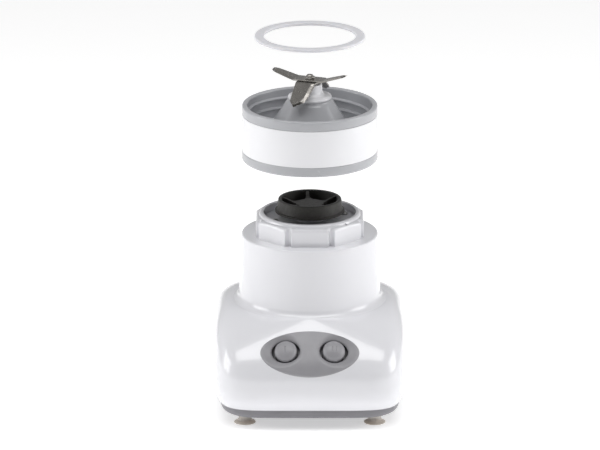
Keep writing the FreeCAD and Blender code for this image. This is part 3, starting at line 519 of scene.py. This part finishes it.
def collar_inner():
    """The grey moulding inside the collar, spun, with the jar thread as a helical ridge: the wall's
    radius falls by the ridge height where a point's height is near start + pitch * turns."""
    depth = bpy.context.scene.blendermaker_sizes.thread / MM
    r_in, r_mid, r_out = COLLAR_INNER_R, COLLAR_INNER_R + 2.4, COLLAR_R
    band = COLLAR_H - BAND_H
    profile = rounded([
        (CONE_LOW_R - 3.6, LEDGE - 3.0), (r_mid, LEDGE - 3.0), (r_mid, band), (r_out, band),
        (r_out, COLLAR_H - 1.0), (r_out - 1.0, COLLAR_H), (r_in + 0.9, COLLAR_H), (r_in, COLLAR_H - 1.0),
        (r_in, LEDGE), (CONE_LOW_R + 0.6, LEDGE), (CONE_LOW_R - 1.2, LEDGE + 1.6),
        (CONE_TOP_R + 1.4, CONE_TOP - 1.6), (CONE_TOP_R, CONE_TOP), (CONE_TOP_R - 0.6, CONE_TOP + 1.5),
        (8.0, CONE_TOP + 1.5), (8.0, CONE_TOP - 1.5), (CONE_TOP_R - 2.2, CONE_TOP - 1.5),
    ], 1.0, 5)
    inner = np.flatnonzero((np.abs(profile[:, 0] - r_in) < 1e-6))
    start, end = inner[0], inner[-1]
    heights = np.linspace(profile[start, 1], profile[end, 1], 90)
    wall = np.stack([np.full(90, r_in), heights], 1)
    profile = np.concatenate([profile[:start], wall, profile[end + 1:]])
    a = circle(360)
    r, z = profile[:, :1] + 0 * a, profile[:, 1:2] + 0 * a
    begin = -np.pi / 3
    for turn in (0, 1):
        t = (a - begin) % TAU / TAU + turn
        centre = LEDGE + 5.0 + THREAD_PITCH * t
        fade = smooth(0.0, 0.05, t) * (1 - smooth(THREAD_TURNS - 0.05, THREAD_TURNS, t))
        ridge = (1 - smooth(0.5, 1.5, np.abs(z - centre))) * fade * depth
        r = np.where(np.abs(profile[:, :1] - r_in) < 1e-6, r - ridge, r)
    shell = np.stack([r * np.cos(a), r * np.sin(a), z + COLLAR_Z], -1)
    mesh_piece("collar_inner", [shell], "collar", "grey_abs", ["collar_body", "blade_cone"])


def collar_rings():
    """The white sleeve and the grey foot ring, each a closed spun outline."""
    low, high, r = BAND_H, COLLAR_H - BAND_H, COLLAR_R + 0.1
    back = COLLAR_INNER_R + 2.4
    sleeve = rounded([(back, low), (r, low), (r, high), (back, high)], 0.45, 5)
    mesh_piece("sleeve_band", [spun(sleeve, 256, COLLAR_Z)], "collar", "white_abs", ["collar_sleeve"])
    r = COLLAR_R + 0.3
    foot = rounded([
        (COLLAR_INNER_R - 0.6, 0), (r - 1.2, 0), (r, 1.6), (r - 0.1, BAND_H), (back, BAND_H),
        (back, LEDGE - 3.0), (COLLAR_INNER_R - 0.6, LEDGE - 3.0)], 0.6, 5)
    mesh_piece("foot_band", [spun(foot, 256, COLLAR_Z)], "collar", "grey_abs", ["collar_base_ring"])


def blade_post():
    """The white bearing housing: spigot, round flange, sweep and post."""
    flange = CONE_TOP + 1.5
    profile = rounded([
        (6.0, CONE_TOP - 10), (8.0, CONE_TOP - 10), (8.0, flange), (20.0, flange), (20.0, flange + 2.6),
        (18.0, flange + 3.5), (13.6, flange + 4.0), (POST_R, flange + 6.4), (POST_R - 0.3, POST_TOP),
        (6.0, POST_TOP)], 1.1, 6)
    mesh_piece("blade_post", [spun(profile, 128, COLLAR_Z)], "collar", "white_abs", ["bearing_housing"])


def gasket():
    """The flat sealing ring with rounded edges."""
    profile = rounded([
        (GASKET_HOLE_R, 0), (GASKET_R, 0), (GASKET_R, GASKET_T), (GASKET_HOLE_R, GASKET_T)], 1.0, 7)
    mesh_piece("seal_ring", [spun(profile, 256, GASKET_Z)], "gasket", "seal_silicone", ["sealing_ring"])


def feet():
    """Four suction feet: cup, brim, waist and stem, each a spun outline moved to its corner."""
    top = COVER_BOTTOM_Z
    profile = rounded([
        (0, 1.2), (6.5, 1.2), (9.4, 0), (10, 0), (10, 0.8), (6.6, 2.7), (5.6, 4.6), (6.2, 7.2), (7.6, 8.4),
        (7.6, top), (3.0, top), (3.0, top + 3.0), (4.0, top + 3.2), (3.0, top + 5.6), (0, top + 5.6),
    ], 0.5, 4, closed=False)
    for node, (x, y) in FEET.items():
        shell = spun(profile, 72) + np.array([x, y, 0.0])
        mesh_piece(node + "_cup", [shell], "base", "foot_silicone", [node])


def blade_shell(edge_points, bend, azimuth, low, root):
    """One two-armed blade as rows across it, from tip to tip through the hub.

    The outline is two curves, distance from the middle line over distance from the axis. The far
    arm is the near one turned half a circle, so its two curves change places. One edge of each arm
    is ground: the top falls to a fine edge over the grind's width. Past the root the row is carried
    along a circular bend and then straight on at the bend's angle."""
    s_out, lead, trail = (np.array(c, float) for c in edge_points)
    reach = s_out[-1]
    t = np.linspace(-1, 1, 241)
    s = reach * np.sign(t) * (1 - (1 - np.abs(t)) ** 1.5)
    dist = np.abs(s)
    near = s >= 0
    hi = np.where(near, np.interp(dist, s_out, lead), np.interp(dist, s_out, trail))
    lo = np.where(near, -np.interp(dist, s_out, trail), -np.interp(dist, s_out, lead))
    f = np.linspace(0, 1, 21)
    y = lo[:, None] + (hi - lo)[:, None] * f
    to_edge = np.where(near[:, None], hi[:, None] - y, y - lo[:, None])
    ground = smooth(root, root + 2.5, dist)[:, None]
    height = BLADE_T * (1 - ground * (1 - np.clip(to_edge / 3.4, 0.12, 1)))
    across = np.concatenate([y, y[:, ::-1]], 1)
    up = np.concatenate([height, np.zeros_like(height)], 1)
    angle, turn_r = math.radians(bend), 3.0
    run = np.clip(dist - root, 0, None)
    bent = np.clip(run / turn_r, 0, abs(angle))
    rest = np.clip(run - turn_r * abs(angle), 0, None)
    along = np.minimum(dist, root) + turn_r * np.sin(bent) + rest * math.cos(angle)
    rise = (turn_r * (1 - np.cos(bent)) + rest * math.sin(abs(angle))) * np.sign(angle)
    lean = bent * np.sign(angle)
    x = (along[:, None] - up * np.sin(lean)[:, None]) * np.sign(s + 1e-9)[:, None]
    z = rise[:, None] + up * np.cos(lean)[:, None]
    flat = np.stack([x, across, z], -1)
    ends = [np.repeat(flat[i].mean(axis=0)[None], flat.shape[1], 0)[None] for i in (0, -1)]
    shell = np.concatenate([ends[0], flat, ends[1]])
    turn = Matrix.Translation((0, 0, COLLAR_Z + low)) @ Matrix.Rotation(math.radians(azimuth), 4, "Z")
    return placed(shell, turn)


def blades():
    """The rising blade, broad and round-tipped, and the diving blade, wide with a slanted point."""
    rising = ((0, 14, 22, 30, 33, 35.2, 36.6, 37.2), (7.4, 7.2, 6.6, 5.6, 5.0, 4.0, 2.4, 0.6),
              (7.2, 7.0, 6.2, 5.2, 4.6, 3.4, 1.8, 0.0))
    diving = ((0, 10, 22, 31, 33, 36, 39.0), (9.2, 9.0, 7.8, 6.0, 4.8, 0.9, -3.2),
              (9.8, 9.7, 9.1, 8.5, 8.2, 5.9, 3.5))
    up = blade_shell(rising, bend=17.0, azimuth=-20.0, low=POST_TOP + 2.9, root=13.0)
    down = blade_shell(diving, bend=-33.0, azimuth=70.0, low=POST_TOP + 1.4, root=9.6)
    mesh_piece("rising_blade", [up], "blades", "blade_steel", ["upper_blade"], sharp=12)
    mesh_piece("diving_blade", [down], "blades", "blade_steel", ["lower_blade"], sharp=12)


def nut():
    """The domed nut: a hexagon whose corners are taken off by a cone towards the top."""
    low, height = POST_TOP + 2.9 + BLADE_T, NUT_H
    a = circle(96)
    flat = NUT_FLAT / np.cos((a + np.pi / 6) % (np.pi / 3) - np.pi / 6)
    rows = [(3.0, 0.0, 0), (1.0, 0.0, 1), (1.0, 0.2, 1), (1.0, height - 0.9, 1), (0.97, height - 0.5, 1),
            (0.9, height - 0.15, 1), (0.8, height, 1), (3.0, height, 0), (3.0, 0.0, 0)]
    shell = []
    for size, z, shaped in rows:
        r = np.minimum(flat * size, NUT_CORNER * size) if shaped else np.full(96, size)
        shell.append(np.stack([r * np.cos(a), r * np.sin(a), np.full(96, COLLAR_Z + low + z)], -1))
    mesh_piece("cap_nut", [np.array(shell)], "blades", "blade_steel", ["blade_nut"], sharp=25)


# ---- finishes ----

def linear(text):
    """An sRGB hex colour as linear values, with full opacity."""
    values = [int(text[i:i + 2], 16) / 255 for i in (1, 3, 5)]
    return [v / 12.92 if v <= 0.04045 else ((v + 0.055) / 1.055) ** 2.4 for v in values] + [1.0]


def add(tree, kind, settings=(), **links):
    """Adds a node: settings are its properties and socket values, links its inputs by name."""
    node = tree.nodes.new(kind)
    for key, value in dict(settings).items():
        if key in node.inputs.keys():
            node.inputs[key].default_value = value
        else:
            setattr(node, key, value)
    for key, source in links.items():
        tree.links.new(source, node.inputs[key.replace("_", " ")])
    return node


def material(name, hex_value, shader):
    """An empty material with a Principled shader; returns it, its tree and the shader node."""
    mat = bpy.data.materials.new(name)
    mat.use_nodes = True
    tree = mat.node_tree
    tree.nodes.clear()
    surface = add(tree, "ShaderNodeBsdfPrincipled", {"Base Color": linear(hex_value), **shader})
    output = add(tree, "ShaderNodeOutputMaterial")
    tree.links.new(surface.outputs[0], output.inputs[0])
    return mat, tree, surface


def grain(tree, surface, size_mm, depth_mm, detail=3.0, stretch=(1, 1, 1)):
    """A bump from noise whose features are size_mm across and depth_mm deep, on Object
    coordinates. The noise node's scale is features per metre. Returns the mapping node, so that
    other noises can use the same coordinates."""
    place = add(tree, "ShaderNodeTexCoord")
    mapping = add(tree, "ShaderNodeMapping", {"Scale": stretch}, Vector=place.outputs["Object"])
    noise = add(tree, "ShaderNodeTexNoise", {"Scale": 1.0 / (size_mm * MM), "Detail": detail},
                Vector=mapping.outputs[0])
    bump = add(tree, "ShaderNodeBump", {"Distance": depth_mm * MM}, Height=noise.outputs["Fac"])
    tree.links.new(bump.outputs[0], surface.inputs["Normal"])
    return mapping


def mottle(tree, surface, mapping, size_mm, dark, light, socket="Roughness"):
    """Slow variation of a socket between two values, or of the colour between two hex values."""
    noise = add(tree, "ShaderNodeTexNoise", {"Scale": 1.0 / (size_mm * MM), "Detail": 2.0},
                Vector=mapping.outputs[0])
    if socket == "Base Color":
        mix = add(tree, "ShaderNodeMix", {"data_type": "RGBA"})
        mix.inputs[6].default_value, mix.inputs[7].default_value = linear(dark), linear(light)
        tree.links.new(noise.outputs["Fac"], mix.inputs[0])
        tree.links.new(mix.outputs[2], surface.inputs[socket])
    else:
        ramp = add(tree, "ShaderNodeMapRange", {"To Min": dark, "To Max": light}, Value=noise.outputs["Fac"])
        tree.links.new(ramp.outputs[0], surface.inputs[socket])


def shade(hex_value, factor):
    """A hex colour with its channels scaled, for a slightly darker or lighter partner."""
    return "#" + "".join("%02X" % min(255, round(int(hex_value[i:i + 2], 16) * factor)) for i in (1, 3, 5))


def gloss_abs(name, hex_value, rough, coat):
    """Injection-moulded ABS from a polished tool: a clean gloss whose roughness and colour vary
    faintly over 14 and 22 mm, and a fine 0.5 mm texture too shallow to break the highlight."""
    mat, tree, surface = material(name, hex_value, {"IOR": 1.53, "Coat Weight": coat, "Coat Roughness": 0.05})
    mapping = grain(tree, surface, 0.5, 0.0012, 2.0)
    mottle(tree, surface, mapping, 14.0, rough * 0.92, rough * 1.1)
    mottle(tree, surface, mapping, 22.0, shade(hex_value, 0.992), shade(hex_value, 1.0), "Base Color")
    return mat


def satin_abs(name, hex_value, rough):
    """ABS from a spark-eroded tool: an even satin with a 0.35 mm pebble, drawn a little coarser
    than the real one so that it shows."""
    mat, tree, surface = material(name, hex_value, {"IOR": 1.53})
    mapping = grain(tree, surface, 0.35, 0.012, 3.0)
    mottle(tree, surface, mapping, 9.0, rough * 0.85, rough * 1.2)
    mottle(tree, surface, mapping, 12.0, shade(hex_value, 0.95), shade(hex_value, 1.03), "Base Color")
    return mat


def moulded_rubber(name, hex_value, rough=0.55):
    """Moulded nitrile rubber: matt, with dusty scuffs and a 0.3 mm grain."""
    mat, tree, surface = material(
        name, hex_value, {"IOR": 1.52, "Sheen Weight": 0.12, "Sheen Roughness": 0.4})
    mapping = grain(tree, surface, 0.3, 0.03, 4.0)
    mottle(tree, surface, mapping, 3.0, rough * 0.75, rough * 1.3)
    mottle(tree, surface, mapping, 2.2, shade(hex_value, 0.8), shade(hex_value, 1.7), "Base Color")
    return mat


def silicone(name, hex_value, scatter, rough=0.38):
    """Milky silicone: light goes a few millimetres in, so thin edges look pale and soft."""
    mat, tree, surface = material(name, hex_value, {
        "IOR": 1.41, "Subsurface Weight": 0.7, "Subsurface Scale": scatter * MM,
        "Subsurface Radius": (1.0, 0.95, 0.9)})
    mapping = grain(tree, surface, 0.8, 0.01, 2.0)
    mottle(tree, surface, mapping, 4.0, rough * 0.85, rough * 1.2)
    return mat


def ground_steel(name, hex_value, rough, lines_mm=0.12):
    """Stainless steel ground along one direction: fine lines about 0.12 mm apart."""
    mat, tree, surface = material(name, hex_value, {"Metallic": 1.0, "Anisotropic": 0.4})
    mapping = grain(tree, surface, lines_mm, 0.0006, 2.0, (1.0, 0.06, 1.0))
    mottle(tree, surface, mapping, 1.5, rough * 0.8, rough * 1.3)
    mottle(tree, surface, mapping, 4.0, shade(hex_value, 0.85), shade(hex_value, 1.05), "Base Color")
    return mat


def cast_metal(name, hex_value, rough, size_mm=0.6):
    """Sintered, plated or wound metal parts of the motor: a slightly uneven satin."""
    mat, tree, surface = material(name, hex_value, {"Metallic": 1.0})
    mapping = grain(tree, surface, size_mm, 0.02, 3.0)
    mottle(tree, surface, mapping, 3.0, rough * 0.8, rough * 1.3)
    return mat


def finishes():
    """One finish for each slot of the record."""
    c = bpy.context.scene.blendermaker_colours
    return {
        "white_abs": gloss_abs("gloss_white_abs", c.shell, 0.2, 0.6),
        "grey_abs": satin_abs("satin_grey_abs", c.panel, 0.36),
        "sleeve": gloss_abs("gloss_sleeve_abs", c.sleeve, 0.22, 0.5),
        "collar": gloss_abs("gloss_grey_abs", c.collar, 0.26, 0.4),
        "trim": satin_abs("satin_trim_abs", c.trim, 0.4),
        "well_plastic": satin_abs("moulded_polypropylene", "#C6C6CA", 0.4),
        "foot_silicone": silicone("foot_silicone", c.foot, 3.0),
        "seal_silicone": silicone("seal_silicone", c.seal, 2.5),
        "black_rubber": moulded_rubber("moulded_nitrile_rubber", c.rubber),
        "blade_steel": ground_steel("ground_stainless_steel", c.steel, 0.24),
        "zinc_steel": cast_metal("zinc_plated_steel", "#A8A8A6", 0.35),
        "copper_wire": cast_metal("enamelled_copper_wire", "#B5623A", 0.35, 0.4),
        "bronze": cast_metal("sintered_bronze", "#B08D4F", 0.4),
        "black_nylon": satin_abs("moulded_nylon", "#202022", 0.5),
        "carbon": satin_abs("pressed_carbon", "#2A2A2C", 0.6),
    }


# ---- stage, in metres, with the sensor in millimetres ----

CAMERA_HEIGHT_ANGLE = math.radians(17.0)
CAMERA_DISTANCE, CAMERA_VIEW_WIDTH, CAMERA_SENSOR = 7.0, 0.552, 36.0
CAMERA_AIM_Z, CAMERA_SHIFT = 0.1655, -0.0163
FLOOR_HALF = 12.0
LIGHT_TARGET = (0, 0, 0.12)


def area_light(name, place, width, height, power):
    """A rectangular soft light, placed in metres and aimed at the middle of the object."""
    data = bpy.data.lights.new(name, "AREA")
    data.shape, data.size, data.size_y, data.energy = "RECTANGLE", width, height, power
    lamp = bpy.data.objects.new(name, data)
    bpy.context.scene.collection.objects.link(lamp)
    lamp.location = place
    lamp.rotation_mode = "QUATERNION"
    lamp.rotation_quaternion = (Vector(LIGHT_TARGET) - Vector(place)).to_track_quat("-Z", "Y")


def stage():
    """Camera, floor, lights and a plain white studio, dimmer on the camera's side."""
    scene = bpy.context.scene
    aim = Vector((0, AXIS_Y * MM, CAMERA_AIM_Z))
    back = Vector((0, -math.cos(CAMERA_HEIGHT_ANGLE), math.sin(CAMERA_HEIGHT_ANGLE)))
    data = bpy.data.cameras.new("camera")
    data.sensor_width, data.lens = CAMERA_SENSOR, CAMERA_SENSOR * CAMERA_DISTANCE / CAMERA_VIEW_WIDTH
    data.shift_x = CAMERA_SHIFT
    camera = bpy.data.objects.new("camera", data)
    scene.collection.objects.link(camera)
    camera.location = aim + back * CAMERA_DISTANCE
    camera.rotation_mode = "QUATERNION"
    camera.rotation_quaternion = (-back).to_track_quat("-Z", "Y")
    data.clip_start, data.clip_end = 0.05, 60
    scene.camera = camera

    corners = [(x * FLOOR_HALF, y * FLOOR_HALF, 0) for x, y in ((-1, -1), (1, -1), (1, 1), (-1, 1))]
    mesh = bpy.data.meshes.new("floor")
    mesh.from_pydata(corners, [], [(0, 1, 2, 3)])
    floor = bpy.data.objects.new("floor", mesh)
    scene.collection.objects.link(floor)
    floor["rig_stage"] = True
    mat, tree, surface = material("matt_white_paper", "#FCFCFC", {
        "Roughness": 0.9, "Specular IOR Level": 0.1,
        "Emission Color": linear("#FFFFFF"), "Emission Strength": 0.42})
    grain(tree, surface, 1.2, 0.02)
    mesh.materials.append(mat)

    world = bpy.data.worlds.new("studio")
    scene.world = world
    world.use_nodes = True
    tree = world.node_tree
    background = tree.nodes["Background"]
    background.inputs[0].default_value = linear("#FFFFFF")
    direction = add(tree, "ShaderNodeTexCoord")
    split = add(tree, "ShaderNodeSeparateXYZ", Vector=direction.outputs["Generated"])
    dim_to_bright = {"From Min": -0.9, "From Max": -0.1, "To Min": 0.06, "To Max": 0.4}
    room = add(tree, "ShaderNodeMapRange", dim_to_bright, Value=split.outputs["Y"])
    tree.links.new(room.outputs[0], background.inputs[1])
    area_light("left_softbox", (-1.5, -0.1, 0.62), 0.8, 0.9, 7.5)
    area_light("right_softbox", (1.5, -0.1, 0.62), 0.8, 0.9, 8.0)
    area_light("top_softbox", (0, -0.55, 2.0), 2.6, 0.7, 20.0)
    scene.view_settings.view_transform = "Standard"


# ---- operators ----

# Pieces whose finish is a lighter or darker one than their slot's
OWN_FINISH = {
    "sleeve_band": "sleeve", "blade_post": "sleeve", "collar_inner": "collar", "foot_band": "collar",
    "bottom_cover": "trim",
}


class MakerOperator:
    """What the operators share."""
    bl_options = {"REGISTER", "UNDO"}


class BLENDERMAKER_OT_stage(MakerOperator, bpy.types.Operator):
    """Set up the camera, the pale floor and the soft lights"""
    bl_idname = "blendermaker.stage"
    bl_label = "Stage"

    def execute(self, context):
        stage()
        return {"FINISHED"}


class BLENDERMAKER_OT_housing(MakerOperator, bpy.types.Operator):
    """Build the motor base's white shell"""
    bl_idname = "blendermaker.housing"
    bl_label = "Housing"

    def execute(self, context):
        housing()
        return {"FINISHED"}


class BLENDERMAKER_OT_controls(MakerOperator, bpy.types.Operator):
    """Build the oval panel and its two buttons"""
    bl_idname = "blendermaker.controls"
    bl_label = "Controls"

    def execute(self, context):
        control_panel()
        button("left")
        button("right")
        return {"FINISHED"}


class BLENDERMAKER_OT_drive(MakerOperator, bpy.types.Operator):
    """Build the seat ring and the drive coupling"""
    bl_idname = "blendermaker.drive"
    bl_label = "Seat ring and coupling"

    def execute(self, context):
        seat_ring()
        coupling()
        return {"FINISHED"}


class BLENDERMAKER_OT_feet(MakerOperator, bpy.types.Operator):
    """Build the suction feet"""
    bl_idname = "blendermaker.feet"
    bl_label = "Feet"

    def execute(self, context):
        feet()
        return {"FINISHED"}


class BLENDERMAKER_OT_collar(MakerOperator, bpy.types.Operator):
    """Build the blade collar"""
    bl_idname = "blendermaker.collar"
    bl_label = "Collar"

    def execute(self, context):
        collar_inner()
        collar_rings()
        blade_post()
        return {"FINISHED"}


class BLENDERMAKER_OT_blades(MakerOperator, bpy.types.Operator):
    """Build the two blades and their nut"""
    bl_idname = "blendermaker.blades"
    bl_label = "Blades"

    def execute(self, context):
        blades()
        nut()
        return {"FINISHED"}


class BLENDERMAKER_OT_seal(MakerOperator, bpy.types.Operator):
    """Build the sealing ring"""
    bl_idname = "blendermaker.seal"
    bl_label = "Sealing ring"

    def execute(self, context):
        gasket()
        return {"FINISHED"}


class BLENDERMAKER_OT_finishes(MakerOperator, bpy.types.Operator):
    """Give every piece and every frame node its finish"""
    bl_idname = "blendermaker.finishes"
    bl_label = "Finishes"

    def execute(self, context):
        ready = finishes()
        by_node = {s["node"]: s["material_slot"] for s in frame["record"]["subparts"]}
        for piece in list(NODES.values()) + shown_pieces():
            slot = by_node.get(piece.name) or piece["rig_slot"]
            piece.data.materials.clear()
            piece.data.materials.append(ready[OWN_FINISH.get(piece.name, slot)])
        return {"FINISHED"}


OPERATORS = (
    BLENDERMAKER_OT_stage, BLENDERMAKER_OT_housing, BLENDERMAKER_OT_controls, BLENDERMAKER_OT_drive,
    BLENDERMAKER_OT_feet, BLENDERMAKER_OT_collar, BLENDERMAKER_OT_blades, BLENDERMAKER_OT_seal,
    BLENDERMAKER_OT_finishes,
)


class BLENDERMAKER_PT_panel(bpy.types.Panel):
    """Settings and one button for each group of pieces"""
    bl_idname = "BLENDERMAKER_PT_panel"
    bl_label = "Blender Maker"
    bl_space_type = "VIEW_3D"
    bl_region_type = "UI"
    bl_category = "Blender Maker"

    def draw(self, context):
        layout = self.layout
        for group in (context.scene.blendermaker_sizes, context.scene.blendermaker_colours):
            box = layout.box()
            for name in type(group).__annotations__:
                box.prop(group, name)
        for operator in OPERATORS:
            layout.operator(operator.bl_idname)


CLASSES = (BLENDERMAKER_PG_sizes, BLENDERMAKER_PG_colours, *OPERATORS, BLENDERMAKER_PT_panel)


def register():
    """Registers the classes and hangs the settings on the scene."""
    for item in CLASSES:
        bpy.utils.register_class(item)
    bpy.types.Scene.blendermaker_sizes = bpy.props.PointerProperty(type=BLENDERMAKER_PG_sizes)
    bpy.types.Scene.blendermaker_colours = bpy.props.PointerProperty(type=BLENDERMAKER_PG_colours)


def unregister():
    """Takes the settings and the classes away again."""
    del bpy.types.Scene.blendermaker_sizes
    del bpy.types.Scene.blendermaker_colours
    for item in reversed(CLASSES):
        bpy.utils.unregister_class(item)


def main():
    """Runs every operator in order."""
    register()
    for operator in OPERATORS:
        group, name = operator.bl_idname.split(".")
        getattr(getattr(bpy.ops, group), name)()


if __name__ == "__main__":
    main()
